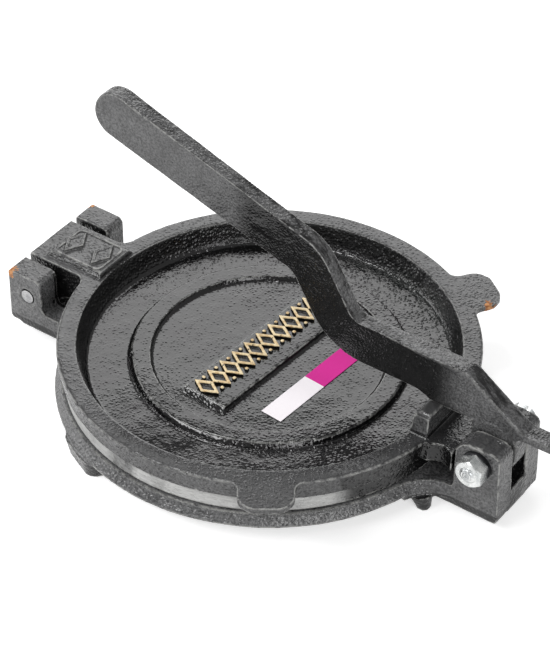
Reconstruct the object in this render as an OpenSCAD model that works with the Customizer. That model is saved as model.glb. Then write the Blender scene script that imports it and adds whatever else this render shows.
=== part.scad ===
/* [Plates] */
// Diameter of the top plate over its rim
plate_d = 200; // [160:1:240]
// Width of the rim's flat top
rim_w = 10; // [7:0.5:14]
// Depth of the dish below the rim
dish_h = 11; // [8:0.5:14]
// How far the dish's wall leans inwards from top to bottom
dish_lean = 3.6; // [1:0.2:6]
// Thickness of the pressing disc under the dish
press_t = 8.5; // [6:0.5:11]
// Depth of the rim's outer band
band_h = 10.6; // [8:0.2:14]
// How far the pressing disc stands in from the rim
disc_inset = 3; // [2:0.5:5]
// Draft of the rim's outer wall
rim_draft = 1.4; // [0.5:0.1:2.5]
// Thickness of the base at its edge
base_t = 6.3; // [5:0.1:10]
// Thickness of the base's web between its ribs
base_web_t = 4; // [3:0.25:4.5]
// How far the base's edge flares out towards the table
base_flare = 3.3; // [1:0.1:5]

/* [Top plate relief] */
// Outer radius of the raised ring in the dish
ring_r = 65.4; // [60:0.2:72]
// Width of the raised ring
ring_w = 9.9; // [6:0.1:12]
// Height of the raised ring above the dish's floor
ring_h = 3; // [1.5:0.1:4]
// How far the floor inside the ring stands above the floor outside it
inner_rise = 0.8; // [0:0.1:1.2]
// Length of the raised name bar
bar_len = 93; // [60:1:96]
// Width of the raised name bar
bar_w = 26; // [16:0.5:30]
// Height of the name bar above the floor inside the ring
bar_h = 2.6; // [1.5:0.1:4]
// Angle of the name bar and the label off square
bar_skew = 4.4; // [0:0.1:8]
// Width of each lifting lug
lug_w = 26; // [20:0.5:32]
// How far each lug stands out from the rim
lug_reach = 15.5; // [10:0.5:22]
// Thickness of each lug
lug_t = 3.4; // [2.5:0.1:6]
// Angle of each lug from the lever's side
lug_angle = 55.4; // [45:0.1:75]

/* [Hinge] */
// Distance of the hinge pin outside the rim
hinge_reach = 21; // [18:0.5:28]
// Height of the hinge pin above the pressing face
pin_rise = 7.5; // [5:0.25:9]
// Diameter of the hinge pin
pin_d = 7; // [5:0.5:9]
// Width of the top plate's tongue
tongue_w = 32; // [24:0.5:40]
// Gap between the tongue and each ear
ear_gap = 3.6; // [1:0.1:5]
// Thickness of each hinge ear
ear_t = 13; // [9:0.5:16]
// Radius of the knuckle round the pin
knuckle_r = 10; // [8:0.25:10.5]
// Length of the tongue behind the pin
tongue_tail = 11.4; // [10:0.2:12]
// Height of the raised pad on the tongue
pad_h = 2.5; // [1:0.25:4]
// Height of the cast marks on the pad
mark_h = 1; // [0.5:0.1:1.5]

/* [Clevis and lever] */
// Distance of the pivot bolt outside the rim
pivot_reach = 25; // [24:0.5:30]
// Height of the pivot bolt above the pressing face
pivot_rise = 19.5; // [17:0.5:21]
// Diameter of the pivot bolt
bolt_d = 8; // [6:0.5:9]
// Radius of the lever's hub, and half the length of the clevis ears
clevis_r = 12; // [10:0.25:12]
// Height of the clevis ears above the bolt
ear_top = 9.3; // [8:0.1:12]
// Width of the clevis over both ears
clevis_w = 35.4; // [32:0.2:40]
// Width of the slot between the clevis ears
slot_w = 12; // [11:0.25:14]
// Thickness of the lever at its hub
lever_t = 10; // [8:0.25:10.5]
// Thickness of the lever behind its knees
waist_t = 8.2; // [6:0.2:9]
// Thickness of the lever at its grip's end
grip_t = 9.5; // [6:0.25:11]
// Rounding of the lever's edges
lever_edge = 1.5; // [1:0.1:2]
// Depth of the lever's bar
bar_depth = 22.4; // [18:0.2:24]
// Depth of the grip at its end
grip_depth = 24.9; // [20:0.1:27]
// Height of the low bar's centreline above the pivot
low_bar_rise = 25; // [23:0.5:27]
// How far the lower knee lies behind the pivot
low_knee = 82.9; // [70:0.1:95]
// How far the upper knee lies behind the pivot
high_knee = 102.7; // [96:0.1:120]
// Height of the upper knee above the pivot
high_knee_rise = 58.4; // [50:0.2:70]
// How far the grip's end lies behind the pivot
grip_reach = 221; // [180:1:245]
// Height of the grip's end above the pivot
grip_rise = 96.4; // [80:0.2:120]
// Length of the lever's tail in front of the pivot
tail_reach = 33; // [26:0.5:38]
// Thickness of the lever's tail
tail_t = 5; // [4:0.25:7]
// Height of the bearing block above the rim
block_h = 11; // [9:0.25:13]
// Thickness of the bearing block along the lever
block_t = 9.5; // [7:0.25:11]
// Length of the bearing block across the lever
block_len = 32; // [20:0.5:36]

/* [Feet] */
// Height of the feet below the base's edge
foot_h = 8.7; // [6:0.1:12]
// Radius of each end of a side foot at the table
side_foot_r = 6; // [4:0.25:7]
// Angle of the side feet from the lever's side
side_foot_angle = 115; // [100:1:125]
// Radius of a front foot at the table
front_foot_r = 3.5; // [3:0.25:6]
// Angle of the front feet from the lever's side
front_foot_angle = 12.3; // [11.5:0.1:15]

/* [Label] */
// Length of the paper label
label_len = 63; // [40:1:66]
// Width of the paper label
label_w = 11.4; // [8:0.2:14]
// Thickness of the paper label
label_t = 0.2; // [0.1:0.05:0.4]

/* [Hidden] */
$fn = 96;

// Radial running fit of the lever and the tongue on their shafts, and drive fit in the ears
running_fit = 0.08;
drive_fit = 0.03;
nut_fit = 0.05;

// Heights above the table
seat_z = foot_h + base_t;
floor_z = seat_z + press_t;
rim_z = floor_z + dish_h;
pin_z = seat_z + pin_rise;
pivot_z = seat_z + pivot_rise;

// Plate radii
rim_r = plate_d / 2;
disc_r = rim_r - disc_inset;
base_r = disc_r + 1.7;
dish_r = rim_r - rim_w;

// Hinge
pin_x = -(rim_r + hinge_reach);
ear_in = tongue_w / 2 + ear_gap;
ear_out = ear_in + ear_t;
ear_back = pin_x - tongue_tail;
ear_front = pin_x + 9;
arm_z = seat_z + 0.6;
clevis_arm_z = seat_z - 0.3;
arm_foot_z = 3.6;
ear_foot_z = 4.8;
tie_t = 4.2;
tongue_z = seat_z + 2.1;

// Clevis
pivot_x = rim_r + pivot_reach;
clevis_back = pivot_x - clevis_r;
clevis_front = pivot_x + clevis_r + 0.2;
slot_z = seat_z + 2;
lobe_gap = 0.7;
scallop_r = 8.4;
neck_fillet_r = 20;

// Bearing block and the lever's heel, which rests on it
block_x = rim_r - 2.5;
block_z = rim_z + block_h;

// The lever's centreline, from its pivot: hub end, lower knee, upper knee and grip end
lever_path = [[-15, low_bar_rise], [-low_knee, low_bar_rise], [-high_knee, high_knee_rise],
    [-grip_reach, grip_rise]];
heel_z = block_z - pivot_z;
tail_z = 11;

// The bolt's hexagons
hex_af = 1.625 * bolt_d;
nut_t = 0.8 * bolt_d;
washer_t = 0.235 * bolt_d;
washer_r = 0.925 * bolt_d;
head_t = 0.66 * bolt_d;
bolt_end = 1.1;

// The label lies beside the name bar
label_x = 28.5;
label_y = -4.1;
inner_floor_z = floor_z + inner_rise;

// The part's own axis stands midway between the hinge's back and the lever's tail
middle_x = (ear_back + pivot_x + tail_reach) / 2;

module placed() {
    translate([-middle_x, 0, 0]) children();
}

// A profile in x and z, made into a slab between two values of y
module slab(y1, y2) {
    translate([0, y2, 0]) rotate([90, 0, 0]) linear_extrude(y2 - y1) children();
}

// A round bar along y
module cross_bar(x, z, r, y1, y2) {
    translate([x, y2, z]) rotate([90, 0, 0]) cylinder(r = r, h = y2 - y1);
}

module both_sides() {
    children();
    mirror([0, 1, 0]) children();
}

function unit(v) = v / norm(v);

function turn_left(v) = [-v[1], v[0]];

// Points of an arc of radius r that rounds corner b between its neighbours a and c
function corner_arc(a, b, c, r, n = 7) =
    let (
        u = unit(a - b),
        w = unit(c - b),
        half = acos(u * w) / 2,
        middle = b + unit(u + w) * r / sin(half),
        from = b + u * r / tan(half) - middle,
        to = b + w * r / tan(half) - middle,
        start = atan2(from[1], from[0]),
        swing = atan2(from[0] * to[1] - from[1] * to[0], from * to)
    )
    [for (i = [0 : n]) middle + r * [cos(start + swing * i / n), sin(start + swing * i / n)]];

// An outline of corners [x, y, rounding radius]
function rounded(corners) =
    let (
        n = len(corners),
        flat = [for (c = corners) [c[0], c[1]]]
    )
    [for (i = [0 : n - 1])
        each corners[i][2] == 0
            ? [flat[i]]
            : corner_arc(flat[(i + n - 1) % n], flat[i], flat[(i + 1) % n], corners[i][2])];

// Corner of a band's edge, h to the left of the path a, b, c
function band_corner(a, b, c, h) =
    let (
        left_in = turn_left(unit(b - a)),
        left_out = turn_left(unit(c - b)),
        side = unit(left_in + left_out)
    )
    b + side * h / (side * left_in);

// Fillets where a straight neck of half width w leaves a disc of radius r1 along x
module neck_fillets(r1, w, r) {
    cx = sqrt(pow(r1 + r, 2) - pow(w + r, 2));
    touch = [cx, w + r] * r1 / (r1 + r);
    inner = sqrt(pow(r1, 2) - pow(w, 2)) - 3;
    both_sides() difference() {
        polygon([[inner, w - 1], [cx, w - 1], [cx, w], touch, touch * (1 - 3 / r1)]);
        translate([cx, w + r]) circle(r);
    }
}

// A straight neck with round corners at its end
module neck(w, x_end, r) {
    translate([0, -w]) square([x_end - r, 2 * w]);
    translate([0, -w + r]) square([x_end, 2 * w - 2 * r]);
    both_sides() translate([x_end - r, w - r]) circle(r);
}

module base_disc() {
    flare_r = base_r + base_flare;
    edge = 1.1;
    rotate_extrude($fn = 180) polygon([
        [0, seat_z - base_web_t],
        [flare_r - 9, seat_z - base_web_t],
        [flare_r - 8, foot_h],
        [flare_r - 0.8, foot_h],
        [flare_r, foot_h + 0.8],
        each [for (a = [0 : 15 : 90]) [base_r - edge + edge * cos(a), seat_z - edge + edge * sin(a)]],
        [0, seat_z]
    ]);
}

// Ribs under the base's web, level with its edge
module base_ribs() {
    rib_w = 10;
    rib_h = base_t - base_web_t + 0.5;
    for (a = [0, 90])
        rotate(a) translate([-base_r + 6, -rib_w / 2, foot_h]) cube([2 * base_r - 12, rib_w, rib_h]);
    translate([0, 0, foot_h]) cylinder(r = 22, h = rib_h);
}

// The arms stand a little above the seat, clear of the plate that lies on it
module plate_clearance() {
    translate([0, 0, seat_z]) cylinder(r = base_r + 0.6, h = 4);
}

// Two hinge ears on their arms, tied by a low bar that stops the open plate
module hinge_arms() {
    ear_outline = rounded([
        [ear_back, ear_foot_z, 2], [ear_back, rim_z, 1.5], [ear_front, rim_z, 3.5], [ear_front, arm_z, 3],
        [-rim_r + 8, arm_z, 0], [-rim_r + 8, arm_foot_z, 0], [pin_x - 3.5, arm_foot_z, 1.2],
        [pin_x - 6, ear_foot_z, 1.2]
    ]);
    difference() {
        both_sides() slab(-ear_out, -ear_in) polygon(ear_outline);
        plate_clearance();
        cross_bar(pin_x, pin_z, pin_d / 2 + drive_fit, -ear_out - 1, ear_out + 1);
        both_sides() translate([pin_x, -ear_out - 0.01, pin_z]) rotate([-90, 0, 0])
            cylinder(r1 = pin_d / 2 + 1.2, r2 = pin_d / 2 + drive_fit, h = 1.2);
    }
    tie_back = pin_x - 9.5;
    translate([tie_back, -ear_in - 1, arm_foot_z]) cube([-rim_r + 4 - tie_back, 2 * ear_in + 2, tie_t]);
}

// The arm that carries the lever, with its two ears
module clevis() {
    half = clevis_w / 2;
    arm_in = rim_r - 30;
    difference() {
        slab(-half, half) polygon(rounded([
            [arm_in + 14, arm_foot_z, 6], [clevis_front, arm_foot_z, 2.5],
            [clevis_front - 1, pivot_z + ear_top, 4.5], [clevis_back, pivot_z + ear_top, clevis_r - 3],
            [clevis_back, clevis_arm_z, 2], [arm_in, clevis_arm_z, 0], [arm_in, foot_h, 0]
        ]));
        slab(-slot_w / 2, slot_w / 2) polygon(rounded([
            [clevis_back - 3, slot_z, 0], [clevis_front + 3, slot_z, 0],
            [clevis_front + 3, pivot_z + clevis_r + 3, 0], [clevis_back - 3, pivot_z + clevis_r + 3, 0]
        ]));
        cross_bar(pivot_x, pivot_z, bolt_d / 2 + running_fit, -half - 1, half + 1);
    }
    // the arm's sides run into the disc in fillets
    flare_r = base_r + base_flare;
    translate([0, 0, foot_h - 1.9]) linear_extrude(base_t + 1.6, scale = base_r / flare_r)
        neck_fillets(flare_r, half, neck_fillet_r);
}

module feet() {
    both_sides() rotate(front_foot_angle) hull() {
        translate([base_r + 5.4, 0, 0]) cylinder(r = front_foot_r, h = 0.5, $fn = 32);
        translate([base_r + 2.8, 0, foot_h - 1.5]) cylinder(r = front_foot_r + 2.5, h = 0.5, $fn = 32);
    }
    both_sides() hull()
        for (a = [side_foot_angle - 4.2, side_foot_angle + 4.2]) rotate(a) translate([base_r - 3, 0, 0])
            cylinder(r1 = side_foot_r, r2 = side_foot_r + 2, h = foot_h + 0.5, $fn = 32);
}

module base_plate() {
    color("#1b1b1d") placed() {
        base_disc();
        base_ribs();
        hinge_arms();
        clevis();
        feet();
    }
}

// The dish, its rim and the raised ring, turned in one piece
module plate_bowl() {
    lip = 1.2;
    low_lip = 0.9;
    wall_r = dish_r - dish_lean;
    rotate_extrude($fn = 180) polygon([
        [0, seat_z],
        each [for (a = [-90 : 30 : 0]) [disc_r - low_lip + low_lip * cos(a), seat_z + low_lip + low_lip * sin(a)]],
        [disc_r, rim_z - band_h],
        [rim_r - rim_draft, rim_z - band_h],
        each [for (a = [0 : 30 : 90]) [rim_r - lip + lip * cos(a), rim_z - lip + lip * sin(a)]],
        each [for (a = [90 : 30 : 150]) [dish_r + lip + lip * cos(a), rim_z - lip + lip * sin(a)]],
        [wall_r + 0.9, floor_z + 2.4],
        [wall_r, floor_z + 0.8],
        [wall_r - 1.6, floor_z],
        [ring_r + 0.8, floor_z],
        [ring_r, floor_z + ring_h - 0.6],
        [ring_r - 0.8, floor_z + ring_h],
        [ring_r - ring_w + 0.5, floor_z + ring_h],
        [ring_r - ring_w - 0.5, inner_floor_z],
        [0, inner_floor_z]
    ]);
}

// Beam for the hinge, with a knuckle round the pin
module tongue() {
    half = tongue_w / 2;
    root_x = -dish_r - 1;
    difference() {
        union() {
            slab(-half, half) polygon(rounded([
                [root_x, rim_z, 0], [pin_x - tongue_tail, rim_z, 1.2],
                [pin_x - tongue_tail, pin_z - knuckle_r, knuckle_r - 1],
                [pin_x + 4, pin_z - knuckle_r, 5], [pin_x + 14, tongue_z, 3], [root_x, tongue_z, 0]
            ]));
            translate([0, 0, rim_z - band_h]) linear_extrude(band_h) rotate(180)
                neck_fillets(rim_r, half, 5);
        }
        cross_bar(pin_x, pin_z, pin_d / 2 + running_fit, -half - 1, half + 1);
    }
}

// The raised pad on the tongue and its cast marks
module tongue_pad() {
    half = tongue_w / 2 - 2.8;
    lean = 1.2;
    pad_back = pin_x - 2.7;
    pad_front = -dish_r - 1.2;
    intersection() {
        slab(-half, half) polygon([
            [pad_back, rim_z - 1], [pad_back, rim_z], [pad_back + lean, rim_z + pad_h],
            [pad_front - lean, rim_z + pad_h], [pad_front, rim_z], [pad_front, rim_z - 1]
        ]);
        rotate([0, 0, 90]) slab(-pad_front, -pad_back) polygon([
            [-half, rim_z - 1], [-half, rim_z], [-half + lean, rim_z + pad_h],
            [half - lean, rim_z + pad_h], [half, rim_z], [half, rim_z - 1]
        ]);
    }
    mark_z = rim_z + pad_h - 0.3;
    for (x = [pad_back + 7.5, pad_front - 8.5]) translate([x, 0, mark_z]) linear_extrude(mark_h + 0.3)
        polygon([[-4.6, 0], [0, -8.5], [4.6, 0], [0, 8.5]]);
}

// The front lobe, scalloped on both sides, and the block that the lever presses on
module lobe_and_block() {
    lobe_end = clevis_back - lobe_gap;
    scallop_x = pivot_x - 19;
    scallop_y = 24.5;
    difference() {
        translate([rim_r - 20, 0, rim_z - band_h]) linear_extrude(band_h)
            translate([0, -clevis_w / 2 - 1]) square([lobe_end - rim_r + 20, clevis_w + 2]);
        both_sides() translate([scallop_x, scallop_y, rim_z - band_h - 1])
            cylinder(r = scallop_r, h = band_h + 2);
        cylinder(r = dish_r, h = rim_z + 1);
    }
    half = block_len / 2;
    block_in = block_x - block_t;
    intersection() {
        slab(-half, half) polygon(rounded([
            [block_in, rim_z - 2, 0], [block_x, rim_z - 2, 0], [block_x, block_z, 0.8],
            [block_in + 3.8, block_z, 0.8], [block_in + 1.2, block_z - 1.6, 0.8]
        ]));
        rotate([0, 0, 90]) slab(-block_x - 1, -block_in + 1) polygon(rounded([
            [-half, rim_z - 2, 0], [half, rim_z - 2, 0], [half - 0.8, block_z - 1.5, 0.8],
            [half - 3.3, block_z, 0.8], [-half + 3.3, block_z, 0.8], [-half + 0.8, block_z - 1.5, 0.8]
        ]));
    }
}

module lugs() {
    half = lug_w / 2;
    both_sides() rotate(lug_angle) translate([0, 0, rim_z - lug_t]) linear_extrude(lug_t)
        difference() {
            union() {
                neck(half, rim_r + lug_reach, 9);
                neck_fillets(rim_r - 0.5, half, 5);
            }
            circle(dish_r + 2);
        }
}

// The raised bar across the middle of the dish
module name_bar() {
    half = bar_w / 2;
    lean = 0.8;
    rotate(-bar_skew) translate([-2, 0, 0]) slab(-bar_len / 2, bar_len / 2) polygon([
        [-half, inner_floor_z - 1], [half, inner_floor_z - 1], [half - lean, inner_floor_z + bar_h],
        [-half + lean, inner_floor_z + bar_h]
    ]);
}

module top_plate() {
    color("#202023") placed() {
        plate_bowl();
        tongue();
        tongue_pad();
        lobe_and_block();
        lugs();
        name_bar();
    }
}

// The lever's side view, from its pivot
function lever_outline() =
    let (
        p = lever_path,
        h = bar_depth / 2,
        top_knee = band_corner(p[1], p[2], p[3], -h),
        low_top = band_corner(p[0], p[1], p[2], -h),
        under_knee = band_corner(p[1], p[2], p[3], h),
        low_under = band_corner(p[0], p[1], p[2], h),
        across = turn_left(unit(p[3] - p[2])) * grip_depth / 2,
        grip_top = p[3] - across,
        grip_under = p[3] + across,
        tip_r = grip_depth / 2 - 0.6
    )
    rounded([
        [-15.5, low_top[1], 9],
        [low_top[0], low_top[1], 8],
        [top_knee[0], top_knee[1], 24],
        [grip_top[0], grip_top[1], tip_r],
        [grip_under[0], grip_under[1], tip_r],
        [under_knee[0], under_knee[1], 10],
        [low_under[0], low_under[1], 32],
        [-41, low_under[1], 4],
        [-33.5, heel_z, 4],
        [-clevis_r, heel_z, 2],
        [-clevis_r, 0, 0],
        each [for (a = [195 : 15 : 345]) [clevis_r * cos(a), clevis_r * sin(a), 0]],
        [clevis_r, 0, 0],
        [clevis_r, tail_z, 1.5],
        [tail_reach, tail_z, 2.2],
        [tail_reach, tail_z + tail_t, 2.2],
        [clevis_r + 2, tail_z + tail_t, 7]
    ]);

// The lever seen from above, thinner behind its knees than at its hub and grip
function lever_plan() =
    let (
        half = [
            [tail_reach + 2, lever_t / 2 + 0.5], [-low_knee / 3, lever_t / 2 + 0.5],
            [-low_knee * 0.75, waist_t / 2], [-high_knee * 1.45, waist_t / 2], [-grip_reach - 8, grip_t / 2]
        ]
    )
    concat(half, [for (i = [len(half) - 1 : -1 : 0]) [half[i][0], -half[i][1]]]);

module lever() {
    color("#1e1e20") placed() translate([pivot_x, 0, pivot_z]) difference() {
        intersection() {
            minkowski() {
                slab(-lever_t / 2 + lever_edge, lever_t / 2 - lever_edge)
                    offset(delta = -lever_edge) polygon(lever_outline());
                rotate([90, 0, 0]) rotate_extrude($fn = 16)
                    polygon([for (a = [-90 : 30 : 90]) lever_edge * [cos(a), sin(a)]]);
            }
            translate([0, 0, -2 * clevis_r]) linear_extrude(2 * grip_rise) polygon(lever_plan());
        }
        cross_bar(0, 0, bolt_d / 2 + running_fit, -lever_t, lever_t);
    }
}

module hinge_pin() {
    color("#b9bcc0") placed() cross_bar(pin_x, pin_z, pin_d / 2, -ear_out + 0.3, ear_out - 0.3);
}

// A hexagon with the corners of its outer face turned off
module hex(height) {
    corner_r = hex_af / sqrt(3);
    intersection() {
        cylinder(r = corner_r, h = height, $fn = 6);
        rotate_extrude() polygon([
            [0, 0], [corner_r, 0], [corner_r, height - 1], [hex_af / 2 - 0.3, height], [0, height]
        ]);
    }
}

module pivot_bolt() {
    face = clevis_w / 2;
    end = face + washer_t + nut_t + bolt_end;
    color("#c3c6c8") placed() translate([pivot_x, 0, pivot_z]) {
        translate([0, face, 0]) rotate([-90, 0, 0]) hex(head_t);
        rotate([90, 0, 0]) rotate_extrude() polygon([
            [0, -face - 1], [bolt_d / 2, -face - 1], [bolt_d / 2, end - 1.2], [bolt_d / 2 - 1, end - 0.3], [0, end]
        ]);
    }
}

// A split spring washer, pressed flat between the ear and the nut
module lock_washer() {
    color("#26272a") placed() translate([pivot_x, -clevis_w / 2, pivot_z]) rotate([90, 0, 0])
        difference() {
            cylinder(r = washer_r, h = washer_t);
            translate([0, 0, -1]) cylinder(r = bolt_d / 2 + nut_fit, h = washer_t + 2);
            rotate(200) translate([0, -0.4, -1]) cube([washer_r + 1, 0.8, washer_t + 2]);
        }
}

module pivot_nut() {
    color("#c9ccce") placed() translate([pivot_x, -clevis_w / 2 - washer_t, pivot_z]) rotate([90, 0, 0])
        difference() {
            rotate(30) hex(nut_t);
            translate([0, 0, -1]) cylinder(r = bolt_d / 2 + nut_fit, h = nut_t + 2);
        }
}

module label() {
    color("#e83aa6") placed() translate([label_x, label_y, inner_floor_z]) rotate(-bar_skew)
        translate([-label_w / 2, -label_len / 2, 0]) cube([label_w, label_len, label_t]);
}

base_plate();
top_plate();
lever();
hinge_pin();
pivot_bolt();
lock_washer();
pivot_nut();
label();
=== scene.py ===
import math
import bpy
import bmesh
from mathutils import Matrix, Vector


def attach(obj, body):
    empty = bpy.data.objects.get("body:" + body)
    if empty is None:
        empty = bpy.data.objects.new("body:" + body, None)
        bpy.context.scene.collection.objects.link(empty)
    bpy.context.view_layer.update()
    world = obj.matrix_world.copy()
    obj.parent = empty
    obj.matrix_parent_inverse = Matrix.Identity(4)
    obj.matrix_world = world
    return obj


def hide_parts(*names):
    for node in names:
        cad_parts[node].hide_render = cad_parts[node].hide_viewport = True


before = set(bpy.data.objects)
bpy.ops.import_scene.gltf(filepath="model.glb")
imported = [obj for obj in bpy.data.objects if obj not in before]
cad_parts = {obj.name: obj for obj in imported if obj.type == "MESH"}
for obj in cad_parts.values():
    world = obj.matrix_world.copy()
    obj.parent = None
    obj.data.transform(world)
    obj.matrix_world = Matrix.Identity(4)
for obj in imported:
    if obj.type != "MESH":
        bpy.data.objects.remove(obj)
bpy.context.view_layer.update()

MOST_TRIANGLES = 190000     # in one piece
WELD = 0.000005             # points closer than this are one
RELIEF_GRAIN = 0.0003       # voxel of the cast relief
PIN_CLEAR = 0.0065          # the castings stay true this near to the hinge's axis

# ---------------------------------------------------------------- places on the press, in metres

CENTRE_X = -0.0128          # middle of both plates
RIM_Z = 0.0345              # flat of the top plate's rim
FLOOR_Z = 0.0243            # floor of the dish inside the ring
BAR_TOP_Z = 0.0269          # flat of the name bar
PAD_TOP_Z = 0.0370          # flat of the tongue's pad
PIVOT = Vector((0.1122, 0, 0.0345))
HINGE = Vector((-0.1338, 0, 0.0225))
SKEW = math.radians(-4.4)   # the name bar and the label lie off square
LABEL_AT = Vector((0.0157, -0.0041, 0.0245))
TONGUE_FRONT_X = -0.092     # where the tongue's pad ends at the dish
PAD_SIDE_Y = 0.0108         # foot of the pad's level top on each side
RING_TOP_Z = 0.0265         # worn crown of the raised ring

FOCAL_PIXELS = 2500
PICTURE_PIXELS = 660        # the longer side of the picture
SENSOR = 36                 # in millimetres


# ---------------------------------------------------------------- camera

def aim_camera():
    azimuth, elevation, roll = math.radians(35.04), math.radians(39.93), math.radians(0.52)
    distance, across, above = 1.169, 0.00248, 0.00335
    back = Vector((math.sin(azimuth) * math.cos(elevation),
                   -math.cos(azimuth) * math.cos(elevation), math.sin(elevation)))
    level = Vector((math.cos(azimuth), math.sin(azimuth), 0))
    upright = back.cross(level)
    right = level * math.cos(roll) + upright * math.sin(roll)
    up = upright * math.cos(roll) - level * math.sin(roll)
    eye = Vector((CENTRE_X, 0, RIM_Z)) + back * distance + right * across + up * above
    lens = bpy.data.cameras.new("camera")
    lens.sensor_width = SENSOR
    lens.lens = FOCAL_PIXELS * SENSOR / PICTURE_PIXELS
    lens.clip_end = 20
    camera = bpy.data.objects.new("camera", lens)
    bpy.context.collection.objects.link(camera)
    turn = Matrix((right, up, back)).transposed().to_4x4()
    camera.matrix_world = Matrix.Translation(eye) @ turn
    bpy.context.scene.camera = camera


aim_camera()


# ---------------------------------------------------------------- shader helpers

def add(tree, kind, values=None, **settings):
    node = tree.nodes.new(kind)
    for key, value in settings.items():
        setattr(node, key, value)
    for key, value in (values or {}).items():
        node.inputs[key].default_value = value
    return node


def wire(tree, source, target):
    tree.links.new(source, target)


def maths(tree, operation, first, second=0.0):
    node = add(tree, "ShaderNodeMath", operation=operation)
    feed(tree, zip(node.inputs, (first, second)))
    return node.outputs[0]


def feed(tree, pairs):
    # sets a plain value on its socket, and wires anything else to it
    for socket, value in pairs:
        if isinstance(value, (int, float, tuple)):
            socket.default_value = value
        else:
            wire(tree, value, socket)


def blend_colours(tree, factor, first, second):
    node = add(tree, "ShaderNodeMix", data_type="RGBA")
    feed(tree, ((node.inputs[0], factor), (node.inputs[6], first), (node.inputs[7], second)))
    return node.outputs[2]


def blend_values(tree, factor, first, second):
    node = add(tree, "ShaderNodeMix", data_type="FLOAT")
    feed(tree, ((node.inputs[0], factor), (node.inputs[2], first), (node.inputs[3], second)))
    return node.outputs[0]


def ramp(tree, value, low, high):
    node = add(tree, "ShaderNodeMapRange", {"From Min": low, "From Max": high},
               interpolation_type="SMOOTHSTEP")
    wire(tree, value, node.inputs["Value"])
    return node.outputs["Result"]


def multiply(tree, first, second):
    return maths(tree, "MULTIPLY", first, second)


def inverse(tree, value):
    return maths(tree, "SUBTRACT", 1.0, value)


def size_of(tree, value):
    return maths(tree, "ABSOLUTE", value)


def split(tree, vector):
    node = add(tree, "ShaderNodeSeparateXYZ")
    wire(tree, vector, node.inputs[0])
    return node.outputs


def place_node(tree):
    return tree.nodes.get("place") or add(tree, "ShaderNodeTexCoord", name="place")


def set_bump(tree, surface, height, strength, distance):
    bump = add(tree, "ShaderNodeBump", {"Strength": strength, "Distance": distance})
    wire(tree, height, bump.inputs["Height"])
    wire(tree, bump.outputs["Normal"], surface.inputs["Normal"])


def noise(tree, scale, detail=2.0, roughness=0.5, distortion=0.0, stretch=None):
    vector = place_node(tree).outputs["Object"]
    if stretch:
        shaped = add(tree, "ShaderNodeMapping", {"Scale": stretch})
        wire(tree, vector, shaped.inputs["Vector"])
        vector = shaped.outputs["Vector"]
    node = add(tree, "ShaderNodeTexNoise", {
        "Scale": scale, "Detail": detail, "Roughness": roughness, "Distortion": distortion})
    wire(tree, vector, node.inputs["Vector"])
    return node.outputs["Fac"]


def cells(tree, scale):
    node = add(tree, "ShaderNodeTexVoronoi", {"Scale": scale}, feature="F1")
    wire(tree, place_node(tree).outputs["Object"], node.inputs["Vector"])
    return node.outputs["Distance"]


def inside_box(tree, where, low, high):
    # one inside a box with edges that fade over half a millimetre; None leaves a side open
    fade = 0.0005
    mask = 1.0
    for axis, begin, end in zip("XYZ", low, high):
        if begin is not None:
            mask = multiply(tree, ramp(tree, where[axis], begin, begin + fade), mask)
        if end is not None:
            mask = multiply(tree, ramp(tree, where[axis], end, end - fade), mask)
    return mask


def new_group(name, inputs, outputs):
    group = bpy.data.node_groups.new(name, "ShaderNodeTree")
    for label, kind, value in inputs:
        socket = group.interface.new_socket(label, in_out="INPUT", socket_type=kind)
        socket.default_value = value
    for label, kind in outputs:
        group.interface.new_socket(label, in_out="OUTPUT", socket_type=kind)
    return group, group.nodes.new("NodeGroupInput"), group.nodes.new("NodeGroupOutput")


def place_group(tree, group, values=None):
    node = tree.nodes.new("ShaderNodeGroup")
    node.node_tree = group
    for key, value in (values or {}).items():
        node.inputs[key].default_value = value
    return node


def new_material(name):
    material = bpy.data.materials.new(name)
    material.use_nodes = True
    return material, material.node_tree, material.node_tree.nodes["Principled BSDF"]


# ---------------------------------------------------------------- effects that several finishes share

def cast_skin_group():
    # sand-cast iron under thick brushed enamel:
    # fine sand grain, round pebbles, slow swells and a few blow holes
    group, start, end = new_group(
        "cast_skin",
        [(label, "NodeSocketFloat", 1.0) for label in ("Grain", "Pebble", "Swell")],
        [(label, "NodeSocketFloat") for label in ("Height", "Pits", "Drift")])
    grain = noise(group, 1050, 1.5, 0.6)
    pebble = ramp(group, cells(group, 600), 0.6, 0.0)
    swell = noise(group, 75, 2.0, 0.5, 0.3)
    height = multiply(group, grain, start.outputs["Grain"])
    height = maths(group, "ADD", height, multiply(group, pebble, start.outputs["Pebble"]))
    height = maths(group, "ADD", height, multiply(group, swell, start.outputs["Swell"]))
    ragged = maths(group, "ADD", cells(group, 62), multiply(group, noise(group, 900, 3.0), 0.05))
    pits = inverse(group, ramp(group, ragged, 0.075, 0.10))
    height = maths(group, "SUBTRACT", height, multiply(group, pits, 0.8))
    drift = noise(group, 60, 4.0, 0.65, 0.5)
    wire(group, height, end.inputs["Height"])
    wire(group, pits, end.inputs["Pits"])
    wire(group, drift, end.inputs["Drift"])
    return group


def corner_chip_group():
    # enamel knocked off one corner, ragged at its edge
    group, start, end = new_group(
        "corner_chip",
        [("Place", "NodeSocketVector", (0, 0, 0)), ("Reach", "NodeSocketFloat", 0.006)],
        [("Mask", "NodeSocketFloat")])
    away = add(group, "ShaderNodeVectorMath", operation="DISTANCE")
    wire(group, place_node(group).outputs["Object"], away.inputs[0])
    wire(group, start.outputs["Place"], away.inputs[1])
    near = maths(group, "DIVIDE", away.outputs["Value"], start.outputs["Reach"])
    ragged = maths(group, "ADD", near, multiply(group, noise(group, 420, 4.0, 0.65), 1.5))
    wire(group, inverse(group, ramp(group, ragged, 1.22, 1.34)), end.inputs["Mask"])
    return group


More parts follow.
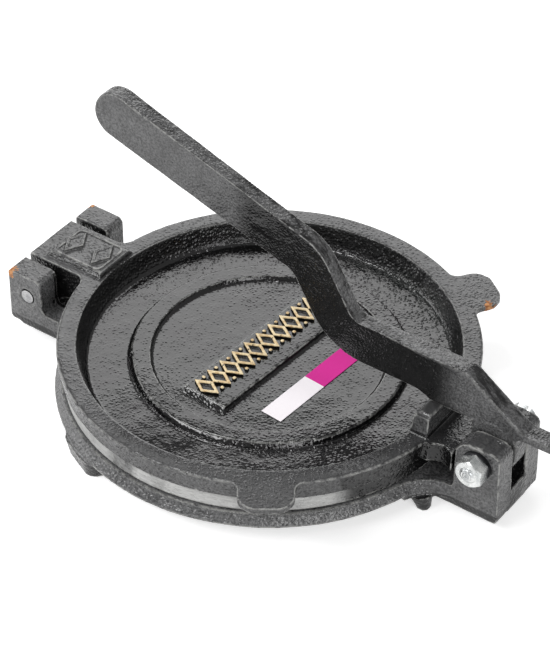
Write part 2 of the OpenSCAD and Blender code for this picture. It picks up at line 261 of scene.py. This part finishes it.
CAST_SKIN = cast_skin_group()
CORNER_CHIP = corner_chip_group()


# ---------------------------------------------------------------- finishes

LEVER_MIDDLE_X = 0.030      # the lever's dust and painted sheen grow from here to both ends
PAINTED_SHADE_SHARE = 0.93         # share of the dust and painted sheen taken out in a hollow, which is painted dark as shade
RELIEF_SIDE_Z = 0.0254      # middle of the height of the ring's and the name bar's sides
RELIEF_SIDE_HALF = 0.0013
RELIEF_REACH = 0.067        # the ring's outer edge
PRINT_DEPTH = 0.0007        # of the sand's print in the enamel
RING_RATE = 5200.0          # radians of a turned ring per metre
INK_FADE = 0.00008          # half the width of the label's colour change

DEEP_BLACK = (0.0008, 0.0008, 0.0009, 1)
SOFT_BLACK = (0.0020, 0.0020, 0.0022, 1)
SPECK_GREY = (0.022, 0.022, 0.021, 1)
PAINTED_SHEEN_FLAT = (0.030, 0.030, 0.031, 1)
TURNED_IRON = (0.55, 0.55, 0.54, 1)
WORN_IRON_HIGHLIGHT = (0.30, 0.30, 0.29, 1)
DARK_RUST = (0.30, 0.10, 0.025, 1)
PALE_RUST = (0.62, 0.30, 0.12, 1)


def dust_and_sheen_colour(tree, dust_and_sheen_tone):
    # fine dust in two tones, darker in the sand's low spots; the same pale colour also stands in for painted
    # sheen
    sanded = ramp(tree, noise(tree, 1000, 2.0, 0.6), 0.3, 0.7)
    return blend_colours(tree, sanded, (dust_and_sheen_tone * 0.45, dust_and_sheen_tone * 0.45, dust_and_sheen_tone * 0.46, 1),
                         (dust_and_sheen_tone * 1.5, dust_and_sheen_tone * 1.5, dust_and_sheen_tone * 1.52, 1))


def distance_out(tree, kind, where):
    # from the middle of a plate, or along the lever from its middle
    if kind == "round":
        along = maths(tree, "POWER", maths(tree, "SUBTRACT", where["X"], CENTRE_X), 2.0)
        across = maths(tree, "POWER", where["Y"], 2.0)
        return maths(tree, "SQRT", maths(tree, "ADD", along, across))
    return size_of(tree, maths(tree, "SUBTRACT", where["X"], LEVER_MIDDLE_X))


def dust_and_sheen_mask(tree, where, reach, drift, paler_from, ground_edge, painted_shade_boxes):
    # the outside is paler, partly from dust and handling and partly as painted sheen, and the hollows are
    # painted dark as shade
    dust_and_sheen = ramp(tree, reach, *paler_from)
    if ground_edge:
        # the lobe at the clevis is painted black as shade, and the block and the pad stand up into the dust
        # and are painted paler as sheen
        dust_and_sheen = multiply(tree, dust_and_sheen, ramp(tree, where["X"], 0.084, 0.078))
        proud = ramp(tree, where["Z"], RIM_Z + 0.0008, RIM_Z + 0.0015)
        dust_and_sheen = maths(tree, "MAXIMUM", dust_and_sheen, proud)
    dust_and_sheen = multiply(tree, dust_and_sheen, blend_values(tree, drift, 0.7, 1.0))
    # painted shade: each hollow box is darkened
    for low, high in painted_shade_boxes:
        outside_painted_shade = inverse(tree, multiply(tree, inside_box(tree, where, low, high), PAINTED_SHADE_SHARE))
        dust_and_sheen = multiply(tree, dust_and_sheen, outside_painted_shade)
    return dust_and_sheen


# painted sheen: level faces at the rim's height turn paler
def painted_sheen_flat_mask(tree, where, facing, drift, flats):
    level = ramp(tree, where["Z"], flats - 0.0010, flats - 0.0005)
    level = multiply(tree, level, ramp(tree, facing["Z"], 0.8, 0.97))
    return multiply(tree, level, blend_values(tree, drift, 0.6, 1.0))


def turned_edge_mask(tree, where, facing, reach, ground_edge):
    # the edge that was turned true on a lathe, in patches and with upright streaks
    thin = ramp(tree, where["Z"], ground_edge + 0.0003, ground_edge - 0.0003)
    upright = inverse(tree, ramp(tree, size_of(tree, facing["Z"]), 0.4, 0.7))
    thin = multiply(tree, thin, upright)
    thin = multiply(tree, thin, ramp(tree, where["X"], 0.070, 0.062))
    thin = multiply(tree, thin, ramp(tree, reach, 0.1009, 0.1003))
    patchy = ramp(tree, noise(tree, 22, 4.0, 0.65, 0.3), 0.30, 0.55)
    streaky = ramp(tree, noise(tree, 160, 3.0, 0.6, 0.0, (1, 1, 7)), 0.2, 0.7)
    return multiply(tree, thin, multiply(tree, patchy, blend_values(tree, streaky, 0.6, 1.0)))


def chip_mask(tree, chips):
    bare = None
    for spot, size in chips:
        chip = place_group(tree, CORNER_CHIP, {"Place": spot, "Reach": size}).outputs["Mask"]
        bare = chip if bare is None else maths(tree, "MAXIMUM", bare, chip)
    return bare


def raised_side_mask(tree, where, reach):
    # the sides of the ring and the name bar, where the enamel runs thick
    off_middle = size_of(tree, maths(tree, "SUBTRACT", where["Z"], RELIEF_SIDE_Z))
    raised = maths(tree, "LESS_THAN", off_middle, RELIEF_SIDE_HALF)
    return multiply(tree, raised, maths(tree, "LESS_THAN", reach, RELIEF_REACH))


def black_enamel(name, kind, skin, gloss, paler_from, dust_and_sheen_tone, flats=None, chips=(), ground_edge=None, painted_shade_boxes=()):
    material, tree, surface = new_material(name)
    cast = place_group(tree, CAST_SKIN, skin)
    place = place_node(tree)
    shape = add(tree, "ShaderNodeNewGeometry")
    facing = split(tree, place.outputs["Normal"])
    where = split(tree, place.outputs["Object"])
    reach = distance_out(tree, kind, where)
    drift = ramp(tree, cast.outputs["Drift"], 0.35, 0.65)
    colour = blend_colours(tree, drift, DEEP_BLACK, SOFT_BLACK)
    specks = ramp(tree, noise(tree, 620, 4.0, 0.75, 0.2), 0.58, 0.70)
    colour = blend_colours(tree, specks, colour, SPECK_GREY)
    rough = blend_values(tree, drift, gloss[0], gloss[1])
    # painted sheen and shade: the outside and the lever's ends are paler, partly as dust, and the hollows are
    # painted dark
    dust_and_sheen = dust_and_sheen_mask(tree, where, reach, drift, paler_from, ground_edge, painted_shade_boxes)
    if kind == "ends":
        # the lever's narrow faces keep the sand's roughness, black in the low spots
        broad = ramp(tree, size_of(tree, facing["Y"]), 0.75, 0.95)
        blotchy = ramp(tree, noise(tree, 170, 4.0, 0.7, 0.0, (0.4, 1, 0.4)), 0.38, 0.56)
        dust_and_sheen = blend_values(tree, broad, blotchy, dust_and_sheen)
    colour = blend_colours(tree, dust_and_sheen, colour, dust_and_sheen_colour(tree, dust_and_sheen_tone))
    rough = blend_values(tree, dust_and_sheen, rough, maths(tree, "MAXIMUM", rough, 0.2))
    if flats:
        # flats at the rim's height are painted paler as sheen, and are duller than the rest
        level = painted_sheen_flat_mask(tree, where, facing, drift, flats)
        colour = blend_colours(tree, level, colour, PAINTED_SHEEN_FLAT)
        rough = blend_values(tree, level, rough, gloss[2])
    colour = blend_colours(tree, cast.outputs["Pits"], colour, DEEP_BLACK)
    if ground_edge:
        thin = turned_edge_mask(tree, where, facing, reach, ground_edge)
        colour = blend_colours(tree, thin, colour, TURNED_IRON)
        rough = blend_values(tree, thin, rough, 0.42)
    # high edges are paler, partly worn through to the iron and partly a painted highlight
    edge_wear_and_highlight = ramp(tree, shape.outputs["Pointiness"], 0.512, 0.540)
    edge_wear_and_highlight = multiply(tree, edge_wear_and_highlight, ramp(tree, noise(tree, 260, 3.0, 0.6), 0.36, 0.56))
    colour = blend_colours(tree, edge_wear_and_highlight, colour, WORN_IRON_HIGHLIGHT)
    rough = blend_values(tree, edge_wear_and_highlight, rough, 0.3)
    bare = chip_mask(tree, chips)
    if bare is not None:
        rust = blend_colours(tree, ramp(tree, noise(tree, 700, 3.0), 0.35, 0.65), DARK_RUST, PALE_RUST)
        colour = blend_colours(tree, bare, colour, rust)
        rough = blend_values(tree, bare, rough, 0.8)
    wire(tree, colour, surface.inputs["Base Color"])
    wire(tree, rough, surface.inputs["Roughness"])
    surface.inputs["Specular IOR Level"].default_value = 0.6
    # level faces, and the lever's broad ones, let the enamel flow smooth over the sand's print
    if kind == "ends":
        smooth, flowed = broad, 0.75
    else:
        smooth = ramp(tree, facing["Z"], 0.55, 0.98)
        flowed = blend_values(tree, ramp(tree, noise(tree, 16, 2.0, 0.5), 0.42, 0.58), 0.25, 0.60)
    if ground_edge:
        smooth = maths(tree, "MAXIMUM", smooth, raised_side_mask(tree, where, reach))
    print_depth = blend_values(tree, smooth, 1.0, flowed)
    set_bump(tree, surface, multiply(tree, cast.outputs["Height"], print_depth), 1.0, PRINT_DEPTH)
    return material


def zinc(name, tone, grey, brush, rough, turned=None, shade_black_within=None):
    material, tree, surface = new_material(name)
    streak = noise(tree, 900, 3.0, 0.6, 0.0, brush)
    cloud = noise(tree, 240, 3.0, 0.6)
    colour = blend_colours(tree, ramp(tree, cloud, 0.3, 0.7), tone, grey)
    if shade_black_within:
        # the middle is painted black as shade inside the hinge, and only the ends are bare
        out = size_of(tree, split(tree, place_node(tree).outputs["Object"])["Y"])
        bare = ramp(tree, out, shade_black_within, shade_black_within + 0.0003)
        colour = blend_colours(tree, bare, (0.006, 0.006, 0.006, 1), colour)
    wire(tree, colour, surface.inputs["Base Color"])
    surface.inputs["Metallic"].default_value = 0.95
    worn = ramp(tree, streak, 0.3, 0.7)
    wire(tree, blend_values(tree, worn, *rough), surface.inputs["Roughness"])
    height = maths(tree, "ADD", streak, cloud)
    if turned:
        # rings that the lathe and the thread's start leave round the shaft's axis
        axis = add(tree, "ShaderNodeVectorMath", {1: turned}, operation="SUBTRACT")
        wire(tree, place_node(tree).outputs["Object"], axis.inputs[0])
        flat = add(tree, "ShaderNodeVectorMath", {1: (1, 0, 1)}, operation="MULTIPLY")
        wire(tree, axis.outputs["Vector"], flat.inputs[0])
        away = add(tree, "ShaderNodeVectorMath", operation="LENGTH")
        wire(tree, flat.outputs["Vector"], away.inputs[0])
        rings = maths(tree, "SINE", multiply(tree, away.outputs["Value"], RING_RATE))
        height = maths(tree, "ADD", height, multiply(tree, rings, 3.0))
    set_bump(tree, surface, height, 0.6, 0.00006)
    return material


def printed_paper(name):
    # a bare two-tone label: white at one end, magenta over the rest
    material, tree, surface = new_material(name)
    shift = add(tree, "ShaderNodeMapping", {"Location": -LABEL_AT}, vector_type="POINT")
    wire(tree, place_node(tree).outputs["Object"], shift.inputs["Vector"])
    turn = add(tree, "ShaderNodeMapping", {"Rotation": (0, 0, -SKEW)}, vector_type="POINT")
    wire(tree, shift.outputs["Vector"], turn.inputs["Vector"])
    axes = split(tree, turn.outputs["Vector"])
    along = maths(tree, "ADD", axes["Y"], multiply(tree, noise(tree, 3000, 2.0), 0.00006))
    ink = ramp(tree, along, -INK_FADE, INK_FADE)
    fibre = noise(tree, 1800, 3.0, 0.6)
    magenta = blend_colours(tree, fibre, (0.62, 0.005, 0.26, 1), (0.66, 0.009, 0.29, 1))
    white = blend_colours(tree, fibre, (0.90, 0.85, 0.89, 1), (0.95, 0.91, 0.94, 1))
    wire(tree, blend_colours(tree, ink, white, magenta), surface.inputs["Base Color"])
    wire(tree, blend_values(tree, fibre, 0.45, 0.55), surface.inputs["Roughness"])
    surface.inputs["Specular IOR Level"].default_value = 0.2
    set_bump(tree, surface, noise(tree, 140, 2.0), 0.5, 0.0001)
    return material


def worn_gilt(name, level):
    # gold paint wiped over the tops of the relief, and worn through in places
    material, tree, surface = new_material(name)
    where = split(tree, place_node(tree).outputs["Object"])
    cloud = noise(tree, 520, 4.0, 0.65)
    tone = ramp(tree, cloud, 0.35, 0.6)
    gold = blend_colours(tree, tone, (0.62, 0.42, 0.20, 1), (0.84, 0.70, 0.44, 1))
    height = maths(tree, "ADD", where["Z"], multiply(tree, noise(tree, 700, 3.0), 0.0008))
    painted = ramp(tree, height, level + 0.0008, level + 0.0011)
    worn = inverse(tree, ramp(tree, noise(tree, 420, 4.0, 0.7, 0.4), 0.62, 0.67))
    painted = multiply(tree, painted, worn)
    colour = blend_colours(tree, painted, (0.002, 0.002, 0.002, 1), gold)
    wire(tree, colour, surface.inputs["Base Color"])
    wire(tree, blend_values(tree, painted, 0.12, 0.45), surface.inputs["Roughness"])
    set_bump(tree, surface, cloud, 1.0, 0.00025)
    return material


# boxes painted dark as shade, where the dust and sheen are taken out, each from a low corner to a high one
HINGE_HOLLOW = ((None, -0.0222, None), (-0.099, 0.0222, 0.0336))     # between the ears, under the tongue
CLEVIS_SLOT = ((0.0925, -0.0072, None), (None, 0.0072, None))
BASE_UNDERSIDE = ((None, None, None), (None, None, 0.0085))
BESIDE_LOBE = ((0.067, None, None), (None, None, RIM_Z - 0.0012))
PAD_SIDES = (((-0.140, -0.0140, RIM_Z), (TONGUE_FRONT_X, -0.0109, PAD_TOP_Z)),
             ((-0.140, 0.0109, RIM_Z), (TONGUE_FRONT_X, 0.0140, PAD_TOP_Z)))

# corners where the enamel is knocked off, and how far
EAR_CHIPS = (((-0.1452, -0.0326, 0.0345), 0.008), ((-0.1452, 0.0326, 0.0345), 0.006))
LUG_CHIP = (((0.0572, 0.0812, 0.0318), 0.0055),)

PLATE_SKIN = {"Grain": 0.3, "Pebble": 0.35, "Swell": 1.6}
LEVER_SKIN = {"Grain": 0.4, "Pebble": 0.22, "Swell": 1.8}
OUTSIDE_DISH = (0.094, 0.097)       # the dust and painted sheen begin here, and are full here
LEVER_ENDS = (0.050, 0.064)
GROUND_EDGE_Z = 0.0238              # top of the edge that was turned

BASE_ENAMEL = black_enamel("base_enamel", "round", PLATE_SKIN, (0.07, 0.12, 0.24), OUTSIDE_DISH, 0.110,
                           flats=RIM_Z, chips=EAR_CHIPS,
                           painted_shade_boxes=(HINGE_HOLLOW, CLEVIS_SLOT, BASE_UNDERSIDE))
PLATE_ENAMEL = black_enamel("plate_enamel", "round", PLATE_SKIN, (0.06, 0.10, 0.22), OUTSIDE_DISH, 0.080,
                            flats=RIM_Z, chips=LUG_CHIP, ground_edge=GROUND_EDGE_Z,
                            painted_shade_boxes=(HINGE_HOLLOW, BESIDE_LOBE) + PAD_SIDES)
LEVER_ENAMEL = black_enamel("lever_enamel", "ends", LEVER_SKIN, (0.07, 0.12), LEVER_ENDS, 0.090)
NUT_ZINC = zinc("nut_zinc", (0.92, 0.93, 0.92, 1), (0.55, 0.57, 0.57, 1), (1, 4, 1), (0.20, 0.40))
BOLT_ZINC = zinc("bolt_zinc", (0.88, 0.89, 0.88, 1), (0.48, 0.50, 0.51, 1), (1, 4, 1), (0.24, 0.44),
                 turned=PIVOT)
PIN_STEEL = zinc("pin_steel", (0.62, 0.62, 0.62, 1), (0.36, 0.36, 0.37, 1), (1, 6, 1), (0.34, 0.55),
                 turned=HINGE, shade_black_within=0.0320)
# a near-black washer, as painted shade for the gap between the nut and the ear
SHADE_BLACK_WASHER = zinc("washer_steel", (0.05, 0.05, 0.055, 1), (0.02, 0.02, 0.022, 1), (1, 4, 1), (0.3, 0.5))
LABEL_PAPER = printed_paper("label_paper")
GILT = worn_gilt("worn_gilt", BAR_TOP_Z + 0.0003)


def finish(piece, material):
    piece.data.materials.clear()
    piece.data.materials.append(material)


for node_name, coat in (("base_plate", BASE_ENAMEL), ("top_plate", PLATE_ENAMEL), ("lever", LEVER_ENAMEL),
                        ("hinge_pin", PIN_STEEL), ("pivot_bolt", BOLT_ZINC), ("pivot_nut", NUT_ZINC),
                        ("lock_washer", SHADE_BLACK_WASHER), ("label", LABEL_PAPER)):
    finish(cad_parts[node_name], coat)


# ---------------------------------------------------------------- castings with their softened edges

def start_piece(piece_name, mesh):
    bpy.ops.object.select_all(action="DESELECT")
    piece = bpy.data.objects.new(piece_name, mesh)
    bpy.context.collection.objects.link(piece)
    piece.select_set(True)
    bpy.context.view_layer.objects.active = piece
    return piece


def apply_all(piece):
    for modifier in list(piece.modifiers):
        bpy.ops.object.modifier_apply(modifier=modifier.name)


def eased_pad(point):
    slope = PAD_TOP_Z - (abs(point.y) - PAD_SIDE_Y) * 1.05
    return min(point.z, max(RIM_Z + 0.0002, slope))


def eased_ring(point, radius):
    # the shoulder is worn away only on the near side
    worn = min(1.0, max(0.0, (-point.y / radius - 0.6) / 0.3))
    if not worn:
        return point.z
    crown = RING_TOP_Z - (radius - 0.0652 + 0.0014 * worn)
    flank = 0.0253 - (radius - 0.0650) * 1.5
    return min(point.z, crown, flank)


def eased(point):
    # the height of a point once the pad's sides, the ring's outer edge and the name bar's near end slope more
    if point.x < TONGUE_FRONT_X and point.z > RIM_Z + 0.0003 and abs(point.y) > PAD_SIDE_Y:
        return eased_pad(point)
    if not FLOOR_Z < point.z < BAR_TOP_Z + 0.0003:
        return point.z
    radius = math.hypot(point.x - CENTRE_X, point.y)
    if 0.0630 < radius < 0.0670:
        return eased_ring(point, radius)
    across = Vector((point.x - CENTRE_X, point.y)) @ Matrix.Rotation(SKEW, 2)
    if abs(across.x + 0.002) < 0.0135 and -0.0475 < across.y < -0.0440:
        return min(point.z, BAR_TOP_Z - max(0.0, -0.0443 - across.y) * 1.1)
    return point.z


def soften_casting(node_name, piece_name, body, grain, material, sink, still):
    # sand casting has no sharp arris and no true flat
    piece = start_piece(piece_name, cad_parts[node_name].data.copy())
    bpy.ops.object.mode_set(mode="EDIT")
    bpy.ops.mesh.select_all(action="SELECT")
    bpy.ops.mesh.remove_doubles(threshold=WELD)
    bpy.ops.object.mode_set(mode="OBJECT")
    remesh = piece.modifiers.new("melt", "REMESH")
    remesh.mode = "VOXEL"
    remesh.voxel_size = grain
    apply_all(piece)
    if node_name == "top_plate":
        for vertex in piece.data.vertices:
            vertex.co.z = eased(vertex.co)
    settle = piece.modifiers.new("settle", "SMOOTH")
    settle.factor, settle.iterations = 0.5, 1
    apply_all(piece)
    rough = piece.vertex_groups.new(name="rough")
    for vertex in piece.data.vertices:
        rough.add([vertex.index], 1.0 - still(vertex.co), "REPLACE")
    for label, size, depth in (("swell", 0.016, sink), ("pebble", 0.0035, sink * 0.55)):
        sand = bpy.data.textures.new(piece_name + "_" + label, "CLOUDS")
        sand.noise_scale = size
        sand.noise_depth = 1
        print_in = piece.modifiers.new(label, "DISPLACE")
        print_in.texture = sand
        print_in.texture_coords = "LOCAL"
        print_in.strength = -depth
        print_in.mid_level = 0.0
        print_in.vertex_group = "rough"
    apply_all(piece)
    corners = sum(len(face.vertices) - 2 for face in piece.data.polygons)
    if corners > MOST_TRIANGLES:
        thin = piece.modifiers.new("thin", "DECIMATE")
        thin.ratio = MOST_TRIANGLES / corners
        apply_all(piece)
    bpy.ops.object.shade_smooth()
    finish(piece, material)
    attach(piece, body)
    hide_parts(node_name)


def from_axis(point, axis):
    return math.hypot(point.x - axis.x, point.z - axis.z)


def still_base(point):
    # the seat, the bores and the slot that the lever works in stay true
    on_seat = point.z > 0.0143 and math.hypot(point.x - CENTRE_X, point.y) < 0.1
    near_pin = from_axis(point, HINGE) < PIN_CLEAR
    near_bolt = from_axis(point, PIVOT) < 0.0095
    in_slot = point.x > 0.0985 and abs(point.y) < 0.0075
    under = point.z < 0.0004
    return 1.0 if on_seat or near_pin or near_bolt or in_slot or under else 0.0


def still_plate(point):
    under = point.z < 0.0165
    near_pin = from_axis(point, HINGE) < PIN_CLEAR
    block_top = point.z > 0.0440
    return 1.0 if under or near_pin or block_top else 0.0


def still_lever(point):
    hub = from_axis(point, PIVOT) < 0.014
    heel = point.z < 0.0465 and 0.076 < point.x < 0.101
    return 1.0 if hub or heel else 0.0


soften_casting("base_plate", "base_casting", "base", 0.0007, BASE_ENAMEL, 0.0003, still_base)
soften_casting("top_plate", "plate_casting", "plate", 0.0006, PLATE_ENAMEL, 0.00025, still_plate)
soften_casting("lever", "lever_casting", "lever", 0.0005, LEVER_ENAMEL, 0.0003, still_lever)


# ---------------------------------------------------------------- cast relief on the bar and the tongue's pad

def pick(piece, wanted):
    # selects the faces of the piece in edit mode that pass a test on their centre and normal
    bpy.ops.mesh.select_all(action="DESELECT")
    bpy.ops.mesh.select_mode(type="FACE")
    shape = bmesh.from_edit_mesh(piece.data)
    for face in shape.faces:
        face.select_set(wanted(face.calc_center_median(), face.normal))
    bmesh.update_edit_mesh(piece.data)


def lozenge(half_x, half_y, bottom, top, wall, hollow):
    bpy.ops.object.select_all(action="DESELECT")
    bpy.ops.mesh.primitive_cylinder_add(vertices=4, radius=1, depth=top - bottom,
                                        location=(0, 0, (top + bottom) / 2))
    piece = bpy.context.active_object
    bpy.ops.object.transform_apply(location=True, rotation=False, scale=False)
    bpy.ops.object.mode_set(mode="EDIT")
    bpy.ops.mesh.select_all(action="SELECT")
    bpy.ops.transform.resize(value=(half_x, half_y, 1), center_override=(0, 0, 0))
    pick(piece, lambda centre, normal: normal.z > 0.9)
    bpy.ops.mesh.inset(thickness=wall, depth=0)
    bpy.ops.mesh.inset(thickness=wall * 0.3, depth=-hollow)
    bpy.ops.mesh.select_mode(type="VERT")
    bpy.ops.object.mode_set(mode="OBJECT")
    return piece


def bead(radius, height, bottom):
    bpy.ops.object.select_all(action="DESELECT")
    bpy.ops.mesh.primitive_uv_sphere_add(segments=16, ring_count=8, radius=1, location=(0, 0, 0))
    piece = bpy.context.active_object
    bpy.ops.object.mode_set(mode="EDIT")
    bpy.ops.mesh.select_all(action="SELECT")
    bpy.ops.transform.resize(value=(radius, radius, height), center_override=(0, 0, 0))
    bpy.ops.transform.translate(value=(0, 0, bottom))
    bpy.ops.object.mode_set(mode="OBJECT")
    return piece


def border(half_x, half_y, corner, width, bottom, top):
    bpy.ops.object.select_all(action="DESELECT")
    bpy.ops.mesh.primitive_plane_add(size=2, location=(0, 0, 0))
    piece = bpy.context.active_object
    bpy.ops.object.mode_set(mode="EDIT")
    bpy.ops.mesh.select_all(action="SELECT")
    bpy.ops.transform.resize(value=(half_x, half_y, 1), center_override=(0, 0, 0))
    bpy.ops.transform.translate(value=(0, 0, bottom))
    bpy.ops.mesh.bevel(affect="VERTICES", offset=corner, segments=5)
    bpy.ops.mesh.select_all(action="SELECT")
    bpy.ops.mesh.inset(thickness=width, depth=0)
    bpy.ops.mesh.delete(type="FACE")
    bpy.ops.mesh.select_all(action="SELECT")
    bpy.ops.mesh.extrude_region_move(TRANSFORM_OT_translate={"value": (0, 0, top - bottom)})
    bpy.ops.mesh.select_all(action="SELECT")
    bpy.ops.mesh.normals_make_consistent(inside=False)
    bpy.ops.object.mode_set(mode="OBJECT")
    return piece


def copy_to(master, x, y, turn=0.0):
    twin = master.copy()
    twin.data = master.data.copy()
    bpy.context.collection.objects.link(twin)
    twin.location = (x, y, 0)
    twin.rotation_euler = (0, 0, turn)
    return twin


def cast_together(pieces, name, material):
    bpy.ops.object.select_all(action="DESELECT")
    for piece in pieces:
        piece.select_set(True)
    bpy.context.view_layer.objects.active = pieces[0]
    bpy.ops.object.transform_apply(location=True, rotation=True, scale=True)
    bpy.ops.object.join()
    piece = bpy.context.active_object
    piece.name = name
    melt = piece.modifiers.new("melt", "REMESH")
    melt.mode = "VOXEL"
    melt.voxel_size = RELIEF_GRAIN
    settle = piece.modifiers.new("settle", "SMOOTH")
    settle.factor, settle.iterations = 0.5, 2
    apply_all(piece)
    bpy.ops.object.shade_smooth()
    finish(piece, material)
    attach(piece, "plate")


def relieve_bar():
    # a row of hollow lozenges with beads between their points, cast on the name bar
    motif = lozenge(0.0075, 0.0042, BAR_TOP_Z - 0.0006, BAR_TOP_Z + 0.0014, 0.0012, 0.0014)
    drop = bead(0.0012, 0.0014, BAR_TOP_Z)
    pieces = []
    pitch = 0.0087
    row = ((motif, -0.0045, 0.0), (drop, -0.0101, pitch / 2), (drop, 0.0011, pitch / 2))
    for step in range(10):
        along = -0.0397 + pitch * step
        for shape, across, shift in row:
            spot = Vector((across, along + shift, 0))
            spot.rotate(Matrix.Rotation(SKEW, 3, "Z").to_euler())
            pieces.append(copy_to(shape, CENTRE_X + spot.x, spot.y, SKEW))
    bpy.data.objects.remove(motif)
    bpy.data.objects.remove(drop)
    cast_together(pieces, "bar_relief", GILT)


def relieve_pad():
    # two hollow lozenges inside a low border, cast on the tongue's pad
    motif = lozenge(0.0048, 0.0087, PAD_TOP_Z - 0.0006, PAD_TOP_Z + 0.0013, 0.0013, 0.0007)
    frame_line = border(0.0138, 0.0106, 0.0035, 0.0010, PAD_TOP_Z - 0.0006, PAD_TOP_Z + 0.0004)
    pieces = [copy_to(shape, x, 0) for shape, x in ((motif, -0.1290), (motif, -0.1125), (frame_line, -0.1203))]
    bpy.data.objects.remove(motif)
    bpy.data.objects.remove(frame_line)
    cast_together(pieces, "pad_relief", PLATE_ENAMEL)


relieve_bar()
relieve_pad()


# ---------------------------------------------------------------- studio

def lamp(name, place, size, power):
    light = bpy.data.lights.new(name, "AREA")
    light.shape = "RECTANGLE"
    light.size, light.size_y = size
    light.energy = power
    lamp_object = bpy.data.objects.new(name, light)
    bpy.context.collection.objects.link(lamp_object)
    lamp_object.location = place
    # every lamp points at the middle of the part
    lamp_object.rotation_euler = (-Vector(place)).to_track_quat("-Z", "Y").to_euler()


WHITE = (1, 1, 1, 1)


def seen_directly(tree, rays):
    return maths(tree, "MAXIMUM", rays.outputs["Is Camera Ray"], rays.outputs["Is Transmission Ray"])


def lay_floor():
    bpy.ops.object.select_all(action="DESELECT")
    bpy.ops.mesh.primitive_plane_add(size=8, location=(0, 0, -0.0002))
    floor = bpy.context.active_object
    floor.name = "studio_floor"
    bpy.ops.object.transform_apply(location=True, rotation=True, scale=True)
    white, tree, surface = new_material("white_floor")
    surface.inputs["Base Color"].default_value = (0.86, 0.86, 0.86, 1)
    surface.inputs["Roughness"].default_value = 0.9
    surface.inputs["Specular IOR Level"].default_value = 0.0
    surface.inputs["Emission Color"].default_value = WHITE
    rays = add(tree, "ShaderNodeLightPath")
    away = add(tree, "ShaderNodeVectorMath", operation="LENGTH")
    wire(tree, place_node(tree).outputs["Object"], away.inputs[0])
    # the lamps light only the middle of the floor, so the rest of it shows its own white
    own_white = blend_values(tree, ramp(tree, away.outputs["Value"], 0.4, 2.2), 0.55, 0.98)
    shown = maths(tree, "MAXIMUM", multiply(tree, seen_directly(tree, rays), own_white),
                  multiply(tree, rays.outputs["Is Glossy Ray"], 0.3))
    wire(tree, shown, surface.inputs["Emission Strength"])
    floor.data.materials.append(white)


def hang_sky():
    # white to the camera, and dimmer to the part
    world = bpy.data.worlds.new("studio")
    bpy.context.scene.world = world
    world.use_nodes = True
    sky = world.node_tree
    dim = sky.nodes["Background"]
    dim.inputs["Color"].default_value = WHITE
    dim.inputs["Strength"].default_value = 0.24
    full = add(sky, "ShaderNodeBackground", {"Color": WHITE, "Strength": 1.0})
    rays = add(sky, "ShaderNodeLightPath")
    seen = maths(sky, "MAXIMUM", seen_directly(sky, rays),
                 multiply(sky, rays.outputs["Is Glossy Ray"], 0.25))
    either = add(sky, "ShaderNodeMixShader")
    wire(sky, seen, either.inputs[0])
    wire(sky, dim.outputs[0], either.inputs[1])
    wire(sky, full.outputs[0], either.inputs[2])
    wire(sky, either.outputs[0], sky.nodes["World Output"].inputs["Surface"])


def build_studio():
    lay_floor()
    hang_sky()
    lamp("key", (-0.55, 0.1, 1.48), (0.36, 0.36), 5)
    lamp("front", (1.3, -0.8, 0.8), (0.9, 0.9), 11)
    lamp("left", (-0.59, -1.02, 1.07), (1.1, 0.36), 11)
    lamp("side", (-1.40, -0.40, 0.45), (1.0, 0.6), 6)
    lamp("back", (-0.775, 1.11, 0.848), (1.0, 0.9), 7)


build_studio()


# ---------------------------------------------------------------- close

bpy.context.scene.view_settings.view_transform = "Standard"
